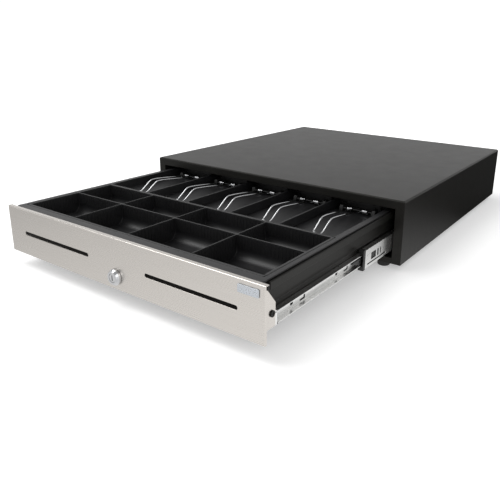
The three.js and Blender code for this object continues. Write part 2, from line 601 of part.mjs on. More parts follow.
function drawerPan() {
  const t = PAN_SHEET;
  const [y0, y1] = PAN_Y;
  const body = prism(panSection(), 'xz', y0, y1);
  const inside = block([t - PAN_HALF, PAN_HALF - t], [y0 + t, y1 - t], [PAN_Z0 + t, PAN_TOP + BEYOND]);
  const lip = PAN_HALF - 2 * t;
  const frontLip = block([-lip, lip], [y0 - BEYOND, y0 + t / 2], [PAN_TOP - 1.5 * t, PAN_TOP - t / 2]);
  const windows = SIDES.map(([, side]) =>
    prism(slotShape(side * SLOT.x, SLOT.panGrow), 'xz', y0 - BITE, y0 + BEYOND, 5));
  return cut(join(cut(body, inside), frontLip), ...windows);
}

// The bracket that carries the panel: an ear at each end, joined by a strip over the slots.
function earBracket() {
  const e = EAR_BRACKET;
  const x1 = PANEL_HALF - PANEL_SHEET - e.inset;
  const plate = prism(outline([e.frontY, e.hipZ], [e.hipY, e.hipZ], [e.hipY, e.foot], [e.rearY, e.foot],
    [e.rearY, e.shoulderZ], [e.shoulderY, e.shoulderZ], [e.shoulderY, e.top], [e.frontY, e.top]),
  'yz', x1 - e.sheet, x1);
  const ear = cut(plate, rod('x', e.holeR, x1 - BEYOND, x1 + BEYOND, EAR.screw, 12));
  const half = x1 - e.sheet / 2;
  const strip = block([-half, half], [e.stripY, e.stripY + e.sheet], e.stripZ);
  return join(strip, ear, toSolid(mirrored(toGeometry(ear))));
}

// The catch on the back of the pan: a plate with an arm that ends in a downward hook.
function latchStriker() {
  const { half, sheet, z, armHalf, armZ, reach, hookY, hookZ } = STRIKER;
  const y0 = PAN_Y[1] + GAP;
  const plate = block([-half, half], [y0, y0 + sheet], z);
  const arm = block([-armHalf, armHalf], [y0, y0 + reach], armZ);
  const hook = block([-armHalf, armHalf], [y0 + hookY, y0 + reach], [hookZ, armZ[1]]);
  return join(plate, arm, hook);
}

add(drawerGroup, 'drawer_pan', drawerPan(), MATERIAL.coating);
add(drawerGroup, 'ear_bracket', earBracket(), MATERIAL.zinc);
add(drawerGroup, 'latch_striker', latchStriker(), MATERIAL.zinc);

// ---------------------------------------------------------------- till tray
const trayGroup = new THREE.Group();
drawerGroup.add(trayGroup);

const grown = ([from, to], by) => [from - by, to + by];

function tillTray() {
  const flange = prism(roundedRect([-TRAY_HALF, TRAY_HALF], TRAY_Y, TRAY_CORNER), 'xy',
    TRAY_TOP - TRAY_WALL, TRAY_TOP, 4);
  const tub = block([-TUB_HALF, TUB_HALF], TUB_Y, [NOTE_FLOOR - TRAY_WALL, TRAY_TOP - TRAY_WALL / 2]);
  const coinHole = block(grown([-COIN_HALF, COIN_HALF], SLIDE_GAP), grown(COIN_Y, SLIDE_GAP), [0, CASE_TOP]);
  const rimRecess = block(grown([-COIN_RIM.half, COIN_RIM.half], SLIDE_GAP), grown(COIN_RIM.y, SLIDE_GAP),
    [COIN_RIM.z0 - GAP, CASE_TOP]);
  const side = TUB_HALF - TRAY_WALL - BITE;
  const noteWell = block([-side, side], [NOTE_Y0, TUB_Y[1] - TRAY_WALL], [NOTE_FLOOR, CASE_TOP]);
  return cut(join(flange, tub), coinHole, rimRecess, noteWell);
}

// A coin cup's section along y: straight walls over a floor that curves up at both ends.
function cupSection(y0, y1) {
  const r = CUP_SCOOP_R;
  const shape = new THREE.Shape();
  shape.moveTo(y1, TRAY_TOP + BEYOND);
  shape.lineTo(y0, TRAY_TOP + BEYOND);
  shape.absarc(y0 + r, COIN_Z0 + r, r, Math.PI, Math.PI * 1.5);
  shape.absarc(y1 - r, COIN_Z0 + r, r, -Math.PI / 2, 0);
  return shape;
}

function coinInsert() {
  const body = prism(roundedRect([-COIN_HALF, COIN_HALF], COIN_Y, COIN_CORNER), 'xy',
    COIN_Z0 - COIN_WALL, TRAY_TOP - 0.5, 3);
  const rim = prism(roundedRect([-COIN_RIM.half, COIN_RIM.half], COIN_RIM.y, COIN_CORNER), 'xy',
    COIN_RIM.z0, TRAY_TOP, 3);
  const half = COIN_WALL / 2;
  const rows = [[COIN_Y[0] + COIN_WALL, COIN_ROW_SPLIT - half],
    [COIN_ROW_SPLIT + half, COIN_Y[1] - COIN_WALL]];
  const edge = COIN_HALF - half;
  const walls = [-edge, ...COIN_DIVIDERS, edge];
  const cups = rows.flatMap(([y0, y1]) => walls.slice(1).map((wall, i) =>
    prism(cupSection(y0, y1), 'yz', walls[i] + half, wall - half, 4)));
  return cut(join(body, rim), ...cups);
}

function noteDivider() {
  const y0 = NOTE_Y0 + GAP;
  const y1 = TUB_Y[1] - TRAY_WALL - GAP;
  const z0 = NOTE_FLOOR + GAP;
  const side = outline([y0, z0], [y1, z0], [y1, TRAY_TOP], [y0 + DIVIDER.slopeY, TRAY_TOP],
    [y0, TRAY_TOP - DIVIDER.slopeZ]);
  return prism(side, 'yz', -DIVIDER.half, DIVIDER.half);
}

// The clip's holder: a base plate, a back plate and two posts that carry the hinge pin.
function clipBracket() {
  const z0 = NOTE_FLOOR + GAP;
  const rise = CLIP.z - NOTE_FLOOR;
  const half = CLIP.postHalf;
  const width = CLIP.postX + half;
  const post = outline([-6, 0], [6, 0], [6, 2 * rise], [3, rise + 4], [-3, rise + 4], [-5, rise]);
  const posts = [-1, 1].flatMap((s) => {
    const centre = s * CLIP.postX;
    const geometry = new THREE.ExtrudeGeometry(post, { depth: 2 * half, bevelEnabled: false });
    geometry.applyMatrix4(PLANES.yz).translate(centre - half, CLIP.y + 2, z0);
    const tail = block([centre - half, centre + half], [CLIP.y + CLIP.tailY, CLIP.y + CLIP.baseY[1] - BITE],
      [z0, z0 + CLIP.tailH]);
    return [toSolid(geometry), tail];
  });
  const [front, back] = CLIP.baseY.map((y) => CLIP.y + y);
  const base = block([-width, width], [front, back], [z0, z0 + CLIP.baseSheet]);
  const backPlate = block([-width, width], [back - CLIP.baseSheet, back], [z0, TRAY_TOP - 2]);
  const pin = rod('x', CLIP.pinR, -CLIP.postX, CLIP.postX, [CLIP.y, CLIP.z], 12);
  return join(...posts, base, backPlate, pin);
}

// The spring wire that holds the notes: a long narrow loop that rises to an elbow near its front
// and drops to a turned-up nose, on a sleeve that turns on the hinge pin.
function noteClip() {
  const sleeve = rod('x', CLIP.sleeveR, -CLIP.sleeveHalf, CLIP.sleeveHalf, [0, 0], 16);
  const bore = rod('x', CLIP.pinR + GAP, -CLIP.postX, CLIP.postX, [0, 0], 12);
  const loop = [...CLIP_LEG, CLIP_NOSE, ...CLIP_LEG.map(([x, y, z]) => [-x, y, z]).reverse()];
  return cut(join(sleeve, wire(loop, CLIP.wireR, 48, 6)), bore);
}

add(trayGroup, 'till_tray', tillTray(), MATERIAL.tray);
add(trayGroup, 'coin_insert', coinInsert(), MATERIAL.tray);
for (let i = 1; i < NOTE_BAYS; i += 1) {
  add(trayGroup, `note_divider_${i}`, noteDivider(), MATERIAL.tray)
    .position.x = (i - NOTE_BAYS / 2) * NOTE_PITCH;
}
for (let i = 1; i <= NOTE_BAYS; i += 1) {
  const x = (i - (NOTE_BAYS + 1) / 2) * NOTE_PITCH;
  add(trayGroup, `clip_bracket_${i}`, clipBracket(), MATERIAL.nylon).position.x = x;
  add(trayGroup, `note_clip_${i}`, noteClip(), MATERIAL.chrome).position.set(x, CLIP.y, CLIP.z);
}

// ---------------------------------------------------------------- latch and ejector
const MECH_Z0 = BASE_TOP + GAP;

// The lever that holds the drawer shut, laid out round its pivot: a leg down to a long foot,
// whose front end turns up into the hook.
function latchLever() {
  const l = LATCH;
  const foot = outline([-l.reach, l.footBottom], [l.legHalf, l.footBottom], [l.legHalf, l.footTop],
    [l.hookY[0], l.footTop], [l.hookY[0], l.hookTop], [l.hookY[1], l.hookTop], [-l.reach, l.hookChinZ]);
  const leg = block([-l.half, l.half], [-l.legHalf, l.legHalf], [l.footTop - 2, 0]);
  const boss = rod('x', l.bossR, -l.half, l.half, [0, 0], 20);
  const bore = rod('x', l.boreR, -BEYOND, BEYOND, [0, 0], 16);
  return cut(join(prism(foot, 'yz', -l.half, l.half), leg, boss), bore);
}

function latchBracket() {
  const y = [LATCH.y - CHEEK.half, LATCH.y + CHEEK.half];
  const cheeks = SIDES.map(([, side]) => block(span(side, ...CHEEK.x), y, [MECH_Z0, LATCH.z + CHEEK.rise]));
  const floor = block([-CHEEK.floorHalf, CHEEK.floorHalf], y, [MECH_Z0, MECH_Z0 + CHEEK.sheet]);
  const pin = rod('x', LATCH.pinR, -LATCH.pinHalf, LATCH.pinHalf, [LATCH.y, LATCH.z], 16);
  return join(...cheeks, floor, pin);
}

function solenoidFrame() {
  const { y: [y0, y1], z, half, sheet, rise, boreR } = SOLENOID;
  const ends = [y0, y1].map((y) => block([-half, half], [y, y + sheet], [MECH_Z0, z + rise]));
  const floor = block([-half, half], [y0, y1 + sheet], [MECH_Z0, MECH_Z0 + sheet]);
  return cut(join(...ends, floor), rod('y', boreR, y0 - BITE, y0 + BEYOND, [0, z], 20));
}

function solenoidCoil() {
  const { y: [y0, y1], z, sheet, coilR, boreR } = SOLENOID;
  const wound = rod('y', coilR, y0 + sheet + GAP, y1 - GAP, [0, z], 28);
  return cut(wound, rod('y', boreR, y0, y1 + BITE, [0, z], 20));
}

function solenoidPlunger() {
  const { z, rodR, capR, capL, capGap, rodL } = SOLENOID;
  const y0 = LATCH.y + LATCH.legHalf + capGap;
  const cap = rod('y', capR, y0, y0 + capL, [0, z], 20);
  return join(cap, rod('y', rodR, y0 + BITE, y0 + rodL, [0, z], 20));
}

function microSwitch() {
  const [x0, x1] = SWITCH.x;
  const body = block(SWITCH.x, SWITCH.y, [MECH_Z0, MECH_Z0 + SWITCH.height]);
  const leaf = prism(outline(...SWITCH.leaf.map(([y, z]) => [y, MECH_Z0 + z])), 'yz',
    x0 + SWITCH.leafInset, x1 - SWITCH.leafInset);
  return join(body, leaf);
}

function ejectorHousing() {
  const { x, z, y: [y0, y1], tubeR, boreR, endWall } = EJECTOR;
  const { footInset, saddleHalf, saddleTop, padHalf, padSheet } = EJECTOR;
  const tube = rod('y', tubeR, y0, y1, [x, z]);
  const bore = rod('y', boreR, y0 - BITE, y1 - endWall, [x, z], 20);
  const length = [y0 + footInset, y1 - footInset];
  const saddle = block([x - saddleHalf, x + saddleHalf], length, [MECH_Z0, saddleTop]);
  const pad = block([x - padHalf, x + padHalf], length, [MECH_Z0, MECH_Z0 + padSheet]);
  return cut(join(tube, saddle, pad), bore);
}

function ejectorPlunger() {
  const { x, z, headR, headL, headGap, rodR, rodEnd } = EJECTOR;
  const y0 = PAN_Y[1] + headGap;
  const head = rod('y', headR, y0, y0 + headL, [x, z], 20);
  return join(head, rod('y', rodR, y0 + headL / 2, rodEnd, [x, z], 20));
}

function ejectorSpring() {
  const { y: [y0, y1], radius, wireR, turns, pointsPerTurn } = SPRING;
  const count = turns * pointsPerTurn;
  const helix = Array.from({ length: count + 1 }, (_, i) => {
    const angle = (2 * Math.PI * i) / pointsPerTurn;
    return [EJECTOR.x + radius * Math.cos(angle), y0 + ((y1 - y0) * i) / count,
      EJECTOR.z + radius * Math.sin(angle)];
  });
  return wire(helix, wireR, turns * 10, 5);
}

add(caseGroup, 'latch_bracket', latchBracket(), MATERIAL.zinc);
add(caseGroup, 'latch_lever', latchLever(), MATERIAL.zinc).position.set(0, LATCH.y, LATCH.z);
add(caseGroup, 'solenoid_frame', solenoidFrame(), MATERIAL.zinc);
add(caseGroup, 'solenoid_coil', solenoidCoil(), MATERIAL.copper);
add(caseGroup, 'solenoid_plunger', solenoidPlunger(), MATERIAL.zinc);
add(caseGroup, 'micro_switch', microSwitch(), MATERIAL.nylon);
add(caseGroup, 'ejector_housing', ejectorHousing(), MATERIAL.nylon);
add(caseGroup, 'ejector_plunger', ejectorPlunger(), MATERIAL.zinc);
add(caseGroup, 'ejector_spring', ejectorSpring(), MATERIAL.zinc);

// ---------------------------------------------------------------- whole object
const cashDrawer = new THREE.Group();
cashDrawer.add(caseGroup, midGroup, outerCageGroup, innerCageGroup, drawerGroup);
cashDrawer.position.y = (EXTENSION + LOCK.proud - CASE_D) / 2;

export default cashDrawer;
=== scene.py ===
import json
import math

import bmesh
import bpy
from mathutils import Matrix, Vector


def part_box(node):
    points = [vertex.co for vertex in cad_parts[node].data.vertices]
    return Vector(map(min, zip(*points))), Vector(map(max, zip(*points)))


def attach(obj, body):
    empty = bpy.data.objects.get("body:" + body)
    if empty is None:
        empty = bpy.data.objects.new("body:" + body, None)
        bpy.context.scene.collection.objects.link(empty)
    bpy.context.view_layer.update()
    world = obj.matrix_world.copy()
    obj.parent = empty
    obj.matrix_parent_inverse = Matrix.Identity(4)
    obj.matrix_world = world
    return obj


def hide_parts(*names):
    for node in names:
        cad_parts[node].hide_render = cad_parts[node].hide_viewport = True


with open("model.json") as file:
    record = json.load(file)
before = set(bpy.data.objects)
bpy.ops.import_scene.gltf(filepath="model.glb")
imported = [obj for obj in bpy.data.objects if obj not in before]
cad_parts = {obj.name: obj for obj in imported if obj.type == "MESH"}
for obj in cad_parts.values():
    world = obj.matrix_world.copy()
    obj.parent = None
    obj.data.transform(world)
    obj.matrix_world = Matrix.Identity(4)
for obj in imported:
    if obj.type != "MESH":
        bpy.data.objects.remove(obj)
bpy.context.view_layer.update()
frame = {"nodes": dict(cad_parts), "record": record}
BODY_OF = {n: body for body, members in frame["record"]["behaviour"]["bodies"].items() for n in members}
SLOT_OF = {s["node"]: s["material_slot"] for s in frame["record"]["subparts"]}
MM = 0.001


# ---------------------------------------------------------------- materials
class Nodes:
    """A material's node tree, with short calls for the nodes that the finishes below share."""

    def __init__(self, name):
        self.material = bpy.data.materials.new(name)
        self.material.use_nodes = True
        self.tree = self.material.node_tree
        self.shader = self.tree.nodes["Principled BSDF"]
        self.position = self.add("ShaderNodeTexCoord").outputs["Object"]

    def add(self, kind, **values):
        node = self.tree.nodes.new(kind)
        for key, value in values.items():
            setattr(node, key, value)
        return node

    def link(self, output, target):
        self.tree.links.new(output, target)

    def stretched(self, scale):
        mapping = self.add("ShaderNodeMapping")
        mapping.inputs["Scale"].default_value = scale
        self.link(self.position, mapping.inputs["Vector"])
        return mapping.outputs["Vector"]

    def noise(self, scale, detail=3.0, rough=0.5, stretch=(1, 1, 1)):
        node = self.add("ShaderNodeTexNoise")
        node.inputs["Scale"].default_value = scale
        node.inputs["Detail"].default_value = detail
        node.inputs["Roughness"].default_value = rough
        self.link(self.stretched(stretch), node.inputs["Vector"])
        return node.outputs["Fac"]

    def ramp(self, value, stops):
        node = self.add("ShaderNodeValToRGB")
        elements = node.color_ramp.elements
        while len(elements) < len(stops):
            elements.new(0.5)
        for element, (place, colour) in zip(elements, stops):
            element.position = place
            element.color = (*colour, 1) if len(colour) == 3 else (*([colour[0]] * 3), 1)
        self.link(value, node.inputs["Fac"])
        return node.outputs["Color"]

    def maths(self, operation, a, b):
        node = self.add("ShaderNodeMath", operation=operation)
        for socket, value in zip(node.inputs, (a, b)):
            if isinstance(value, (int, float)):
                socket.default_value = value
            else:
                self.link(value, socket)
        return node.outputs["Value"]

    def bump(self, height, strength, distance):
        node = self.add("ShaderNodeBump")
        node.inputs["Strength"].default_value = strength
        node.inputs["Distance"].default_value = distance
        self.link(height, node.inputs["Height"])
        return node.outputs["Normal"]

    def finish(self, colour=None, roughness=None, normal=None, **sockets):
        for name, value in (("Base Color", colour), ("Roughness", roughness), ("Normal", normal)):
            if value is not None:
                self.link(value, self.shader.inputs[name])
        for name, value in sockets.items():
            self.shader.inputs[name.replace("_", " ")].default_value = value
        return self.material


def powder_coat():
    """Semi-gloss black powder coat: a fine pebbled skin, a little dust, edges rubbed paler."""
    n = Nodes("powder_coat")
    pebble = n.noise(1500, 2, 0.55)
    dust = n.noise(38, 5, 0.6)
    wear = n.add("ShaderNodeNewGeometry").outputs["Pointiness"]
    edge = n.ramp(wear, [(0.53, (0.0,)), (0.6, (1.0,))])
    scuffs = n.ramp(n.noise(210, 4, 0.65), [(0.52, (0.0,)), (0.7, (1.0,))])
    mix = n.add("ShaderNodeMix", data_type="RGBA")
    n.link(n.maths("MULTIPLY", edge, n.maths("MULTIPLY", scuffs, 0.35)), mix.inputs["Factor"])
    n.link(n.ramp(dust, [(0.3, (0.0088, 0.0085, 0.0077)), (0.75, (0.0108, 0.0104, 0.0094))]), mix.inputs["A"])
    mix.inputs["B"].default_value = (0.055, 0.053, 0.05, 1)
    rough = n.ramp(dust, [(0.25, (0.37,)), (0.8, (0.415,))])
    return n.finish(mix.outputs["Result"], rough, n.bump(pebble, 0.22, 0.00025), Specular_IOR_Level=0.19,
                    Specular_Tint=(1, 0.985, 0.93, 1))


def brushed_steel():
    """Brushed stainless: long fine scratches along X, in colour, roughness and bump."""
    n = Nodes("brushed_stainless")
    steel = (0.70, 0.665, 0.625)
    groove = tuple(c * 0.93 for c in steel)
    fine = n.noise(1.0, 4, 0.6, (26, 2600, 2600))
    smear = n.noise(7, 3, 0.5)
    rough = n.maths("ADD", n.maths("MULTIPLY", fine, 0.06),
                    n.maths("ADD", n.maths("MULTIPLY", smear, 0.05), 0.215))
    tangent = n.add("ShaderNodeTangent", direction_type="RADIAL", axis="X")
    n.link(tangent.outputs["Tangent"], n.shader.inputs["Tangent"])
    return n.finish(n.ramp(fine, [(0.3, groove), (0.7, steel)]), rough,
                    n.bump(fine, 0.04, 0.00003), Metallic=1.0, Anisotropic=0.5)


def zinc_plate():
    """Bright zinc on rolled steel: faint rolling lines along the rail and a cloudy passivation."""
    n = Nodes("zinc_plate")
    lines = n.noise(1.0, 3, 0.5, (700, 10, 700))
    cloud = n.noise(22, 3, 0.5)
    tone = n.maths("ADD", n.maths("MULTIPLY", lines, 0.3), n.maths("MULTIPLY", cloud, 0.7))
    rough = n.maths("MULTIPLY", cloud, 0.14)
    colour = n.ramp(tone, [(0.3, (0.80, 0.80, 0.79)), (0.7, (0.88, 0.88, 0.87))])
    return n.finish(colour, n.maths("ADD", rough, 0.2), n.bump(lines, 0.06, 0.00006), Metallic=1.0)


def chrome():
    """Chrome plate: bright, with a thin haze and fine scratches along the wire."""
    n = Nodes("chrome_plate")
    haze = n.noise(140, 4, 0.6)
    scratches = n.noise(1.0, 2, 0.5, (2600, 300, 2600))
    rough = n.ramp(haze, [(0.35, (0.05,)), (0.8, (0.15,))])
    colour = n.ramp(haze, [(0.3, (0.56, 0.57, 0.58)), (0.7, (0.70, 0.70, 0.71))])
    return n.finish(colour, rough, n.bump(scratches, 0.05, 0.00005), Metallic=1.0)


def moulded(name, dark, pale, roughness, grain, depth):
    """Moulded black plastic: spark-eroded grain, faint flow clouds and rubbed patches."""
    n = Nodes(name)
    texture = n.noise(grain, 3, 0.6)
    cloud = n.noise(26, 4, 0.55)
    scuff = n.ramp(n.noise(1.0, 5, 0.7, (160, 420, 160)), [(0.55, (0.0,)), (0.72, (1.0,))])
    rough = n.maths("ADD", n.maths("MULTIPLY", cloud, 0.12),
                    n.maths("ADD", n.maths("MULTIPLY", scuff, 0.08), roughness - 0.06))
    return n.finish(n.ramp(cloud, [(0.3, dark), (0.75, pale)]), rough,
                    n.bump(texture, 0.25, depth), Specular_IOR_Level=0.45)


def rubber():
    """Dusty black rubber of the feet."""
    n = Nodes("foot_rubber")
    dust = n.noise(300, 4, 0.6)
    return n.finish(n.ramp(dust, [(0.4, (0.012, 0.012, 0.012)), (0.75, (0.03, 0.029, 0.028))]),
                    n.ramp(dust, [(0.3, (0.7,)), (0.8, (0.9,))]), n.bump(dust, 0.3, 0.0002))


def coil_wrap():
    """Enamelled winding under amber tape: the turns show as fine ridges round the coil."""
    n = Nodes("coil_wrap")
    wave = n.add("ShaderNodeTexWave", wave_type="BANDS", bands_direction="Y")
    wave.inputs["Scale"].default_value = 420
    wave.inputs["Distortion"].default_value = 0.6
    n.link(n.position, wave.inputs["Vector"])
    tint = n.ramp(n.noise(80, 3), [(0.3, (0.30, 0.09, 0.025)), (0.7, (0.48, 0.18, 0.05))])
    return n.finish(tint, n.ramp(wave.outputs["Fac"], [(0.0, (0.25,)), (1.0, (0.42,))]),
                    n.bump(wave.outputs["Fac"], 0.5, 0.0003), Metallic=0.35, Coat_Weight=0.4)


def blank_label():
    """The blank badge: plain satin silver foil, nearly even, with no band and no lettering."""
    n = Nodes("blank_label")
    foil = n.noise(900, 3, 0.5)
    return n.finish(n.ramp(foil, [(0.3, (0.54, 0.57, 0.61)), (0.7, (0.57, 0.60, 0.64))]),
                    n.ramp(foil, [(0.3, (0.26,)), (0.7, (0.3,))]), n.bump(foil, 0.02, 0.0001),
                    Metallic=0.55, Coat_Weight=0.3)


FINISH = {
    "coating": powder_coat(),
    "stainless": brushed_steel(),
    "zinc": zinc_plate(),
    "chrome": chrome(),
    "tray": moulded("tray_plastic", (0.0075, 0.0075, 0.008), (0.012, 0.012, 0.013), 0.42, 1400, 0.00012),
    "nylon": moulded("black_nylon", (0.006, 0.006, 0.006), (0.011, 0.011, 0.011), 0.4, 900, 0.00015),
    "rubber": rubber(),
    "copper": coil_wrap(),
    "label": blank_label(),
}


# ---------------------------------------------------------------- pieces
SHARP_ANGLE = 28      # degrees between two faces from which their edge is rounded
WELD = 2e-6           # metres: CAD corners nearer than this are one corner


def place(obj, body, slot, *nodes):
    """Links a finished piece, gives it its finish, and lets it ride on its body in place of CAD nodes."""
    if obj.name not in bpy.context.scene.collection.objects:
        bpy.context.scene.collection.objects.link(obj)
    obj.data.materials.clear()
    obj.data.materials.append(FINISH[slot])
    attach(obj, body)
    if nodes:
        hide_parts(*nodes)


def soften(obj, width):
    """Rounds a piece's sharp edges by `width` millimetres and shades its flat faces flat."""
    bevel = obj.modifiers.new("edge", "BEVEL")
    bevel.width = width * MM
    bevel.segments = 2
    bevel.limit_method = "ANGLE"
    bevel.angle_limit = math.radians(SHARP_ANGLE)
    bevel.use_clamp_overlap = False
    bevel.miter_outer = "MITER_ARC"
    flatten = obj.modifiers.new("flat_faces", "WEIGHTED_NORMAL")
    flatten.weight = 100
    flatten.keep_sharp = True
    for polygon in obj.data.polygons:
        polygon.use_smooth = True


def new_object(name, shape):
    """An object from a bmesh, which is freed."""
    mesh = bpy.data.meshes.new(name)
    shape.to_mesh(mesh)
    shape.free()
    return bpy.data.objects.new(name, mesh)


def refine(name, width):
    """A finished copy of a CAD node: the same shape with its edges rounded."""
    shape = bmesh.new()
    shape.from_mesh(frame["nodes"][name].data)
    bmesh.ops.remove_doubles(shape, verts=shape.verts, dist=WELD)
    obj = new_object(name + "_finished", shape)
    soften(obj, width)
    place(obj, BODY_OF[name], SLOT_OF[name], name)


# ---------------------------------------------------------------- front panel
def add_block(shape, x, y, z):
    """A box between two values, in millimetres, along each axis."""
    made = bmesh.ops.create_cube(shape, size=1.0)["verts"]
    for vert in made:
        vert.co = Vector((x[vert.co.x > 0], y[vert.co.y > 0], z[vert.co.z > 0])) * MM


def add_prism(shape, outline, place_point, ends):
    """A closed prism: each (a, b) of the outline goes to place_point(a, b, end) for the two ends."""
    loops = [[shape.verts.new(Vector(place_point(a, b, end)) * MM) for a, b in outline] for end in ends]
    shape.faces.new(loops[0][::-1])
    shape.faces.new(loops[1])
    for i in range(len(outline)):
        j = (i + 1) % len(outline)
        shape.faces.new((loops[0][i], loops[0][j], loops[1][j], loops[1][i]))
    bmesh.ops.recalc_face_normals(shape, faces=shape.faces)


def arc(centre, radius, start, end, steps):
    """Points on an arc, from angle `start` to `end` in degrees, with both ends."""
    angles = [math.radians(start + (end - start) * i / steps) for i in range(steps + 1)]
    return [(centre[0] + radius * math.cos(a), centre[1] + radius * math.sin(a)) for a in angles]


def front_panel():
    """The folded stainless front: one blank, hollowed behind, with its ears, slots and lock hole cut."""
    low, high = (Vector(v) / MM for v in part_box("front_panel"))
    x0, y0, z0 = low
    x1, y1, z1 = high
    sheet, fold, side_fold, bend_r = 1.2, 6, 3, 1.2
    past, through = 5, 4          # how far the cutters run past what they cut
    far = y1 + past
    ear_low, ear_high, slope_top, slope_deep = z0 + 15.8, z0 + 41.3, z0 + 58, y0 + 3.9
    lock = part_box("lock_body")
    lock_z = (lock[0][2] + lock[1][2]) / 2 / MM
    slot_z, slot_r, slot_half, slot_x = lock_z + 15, 2.4, 63.6, 115
    screw_hole_r, lock_hole_r = 2.3, 8.7

    blank = bmesh.new()
    add_block(blank, (x0, x1), (y0, y1), (z0, z1))
    folds = [e for e in blank.edges if all(v.co.y < (y0 + 1) * MM for v in e.verts)
             and not all(v.co.z < (z0 + 1) * MM for v in e.verts)]
    bmesh.ops.bevel(blank, geom=folds, offset=bend_r * MM, segments=6, profile=0.5, affect="EDGES")
    panel = new_object("front_panel_finished", blank)

    def along_x(a, b, end):
        return end, a, b

    def along_y(a, b, end):
        return a, end, b

    def cutter(name, build):
        shape = bmesh.new()
        build(shape)
        tool = new_object(name, shape)
        bpy.context.scene.collection.objects.link(tool)
        cut = panel.modifiers.new(name, "BOOLEAN")
        cut.operation = "DIFFERENCE"
        cut.solver = "EXACT"
        cut.object = tool
        return tool

    tools = [cutter("inside", lambda s: add_block(
        s, (x0 + sheet, x1 - sheet), (y0 + sheet, far), (z0 + sheet, z1 - sheet)))]
    over_ears = [(y1 + 1, ear_high - 1), (slope_deep, slope_top), (y0 + sheet, slope_top + 1.5),
                 (y0 + sheet, z1 - sheet), (y0 + fold, z1 - sheet), (y0 + fold, z1 + 1),
                 (far, z1 + 1), (far, ear_high)]
    tools.append(cutter("over_ears", lambda s: add_prism(s, over_ears, along_x, (x0 - past, x1 + past))))
    tools.append(cutter("under_ears", lambda s: add_block(
        s, (x0 - past, x1 + past), (y0 + fold, far), (z0 - past, ear_low))))
    beside = 2.9                  # how deep the side folds are notched under the ears
    for side, edge in (("left", x0), ("right", x1)):
        tools.append(cutter("beside_" + side, lambda s, edge=edge: add_block(
            s, (edge - beside, edge + beside), (y0 + side_fold, far - 0.5), (z0 - through, ear_low))))
    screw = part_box("panel_screw_right")
    screw_at = ((screw[0][1] + screw[1][1]) / 2 / MM, (screw[0][2] + screw[1][2]) / 2 / MM)
    tools.append(cutter("screw_holes", lambda s: add_prism(
        s, arc(screw_at, screw_hole_r, 0, 348, 29), along_x, (x0 - through, x1 + through))))
    for side in (-1, 1):
        centre = side * slot_x
        round_slot = (arc((centre + slot_half, slot_z), slot_r, -90, 90, 12)
                      + arc((centre - slot_half, slot_z), slot_r, 90, 270, 12))
        tools.append(cutter("slot_%d" % side, lambda s, o=round_slot: add_prism(
            s, o, along_y, (y0 - past, y0 + past))))
    tools.append(cutter("lock_hole", lambda s: add_prism(
        s, arc((0, lock_z), lock_hole_r, 0, 353, 50), along_y, (y0 - through, y0 + through))))

    bpy.context.scene.collection.objects.link(panel)
    depsgraph = bpy.context.evaluated_depsgraph_get()
    finished = bpy.data.meshes.new_from_object(panel.evaluated_get(depsgraph))
    panel.modifiers.clear()
    panel.data = finished
    for tool in tools:
        bpy.data.objects.remove(tool)
    soften(panel, 0.42)
    place(panel, "drawer", "stainless", "front_panel")


def keyway_shade_block():
    """A dark block just behind the plug's face, shaped as a spring dust shutter, that paints the shade inside
    the keyway.
    """
    low, high = (Vector(v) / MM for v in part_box("lock_plug"))
    half_width, half_height, inset, depth = 0.65, 3.5, 0.7, 3.9
    z, y = (low.z + high.z) / 2, low.y + inset
    shape = bmesh.new()
    add_block(shape, (-half_width, half_width), (y, y + depth), (z - half_height, z + half_height))
    # painted shade: this dark nylon block stands in for the shade deep in the keyway
    place(new_object("keyway_shade_block", shape), BODY_OF["lock_plug"], "nylon")


# ---------------------------------------------------------------- note clips
WIRE_R = 1.05
COIL = {"turns": 4, "steps": 14, "radius": 2.7, "start": 8, "pitch": 2.15}
# One leg of the loop from the pin to the nose, in millimetres from the hinge.
CLIP_LEG = [(8, -2, 0.5), (7.6, -30, 5.2), (7.2, -62, 9.4), (6.8, -83, 11.2), (6.6, -90, 9.8),
            (6.4, -98, 4.8), (6.2, -106, -0.4), (5.6, -111.5, -2.4), (4, -115.5, -1.2)]
CLIP_NOSE = (0, -117, 0.2)


def smooth_path(points, steps):
    """A Catmull-Rom path through the points, with `steps` pieces between each two."""
    points = [Vector(p) for p in points]
    padded = [2 * points[0] - points[1], *points, 2 * points[-1] - points[-2]]
    path = []
    for a, b, c, d in zip(padded, padded[1:], padded[2:], padded[3:]):
        for i in range(steps):
            t = i / steps
            path.append(0.5 * (2 * b + (c - a) * t + (2 * a - 5 * b + 4 * c - d) * t * t
                               + (3 * b - a - 3 * c + d) * t ** 3))
    return path + [points[-1]]


def wire_spline(curve, points):
    """A straight-sided spline of the curve through the points, in millimetres."""
    spline = curve.splines.new("POLY")
    spline.points.add(len(points) - 1)
    for target, point in zip(spline.points, points):
        target.co = (*(Vector(point) * MM), 1)


def note_clip(name, hinge):
    """A bank-note clip: the wire loop with its elbow and nose, and the spring coils on its pin."""
    curve = bpy.data.curves.new(name + "_wire", "CURVE")
    curve.dimensions = "3D"
    curve.bevel_depth = WIRE_R * MM
    curve.bevel_resolution = 4
    curve.use_fill_caps = True
    loop = CLIP_LEG + [CLIP_NOSE] + [(-x, y, z) for x, y, z in CLIP_LEG[::-1]]
    wire_spline(curve, [hinge + p for p in smooth_path(loop, 7)])
    for side in (-1, 1):
        coil = []
        for i in range(COIL["turns"] * COIL["steps"] + 1):
            turn = i / COIL["steps"]
            angle = 2 * math.pi * turn
            coil.append(hinge + Vector((side * (COIL["start"] + COIL["pitch"] * turn),
                                        -COIL["radius"] * math.cos(angle),
                                        COIL["radius"] * math.sin(angle))))
        wire_spline(curve, coil)
    obj = bpy.data.objects.new(name + "_wire", curve)
    place(obj, BODY_OF[name], "chrome", name)


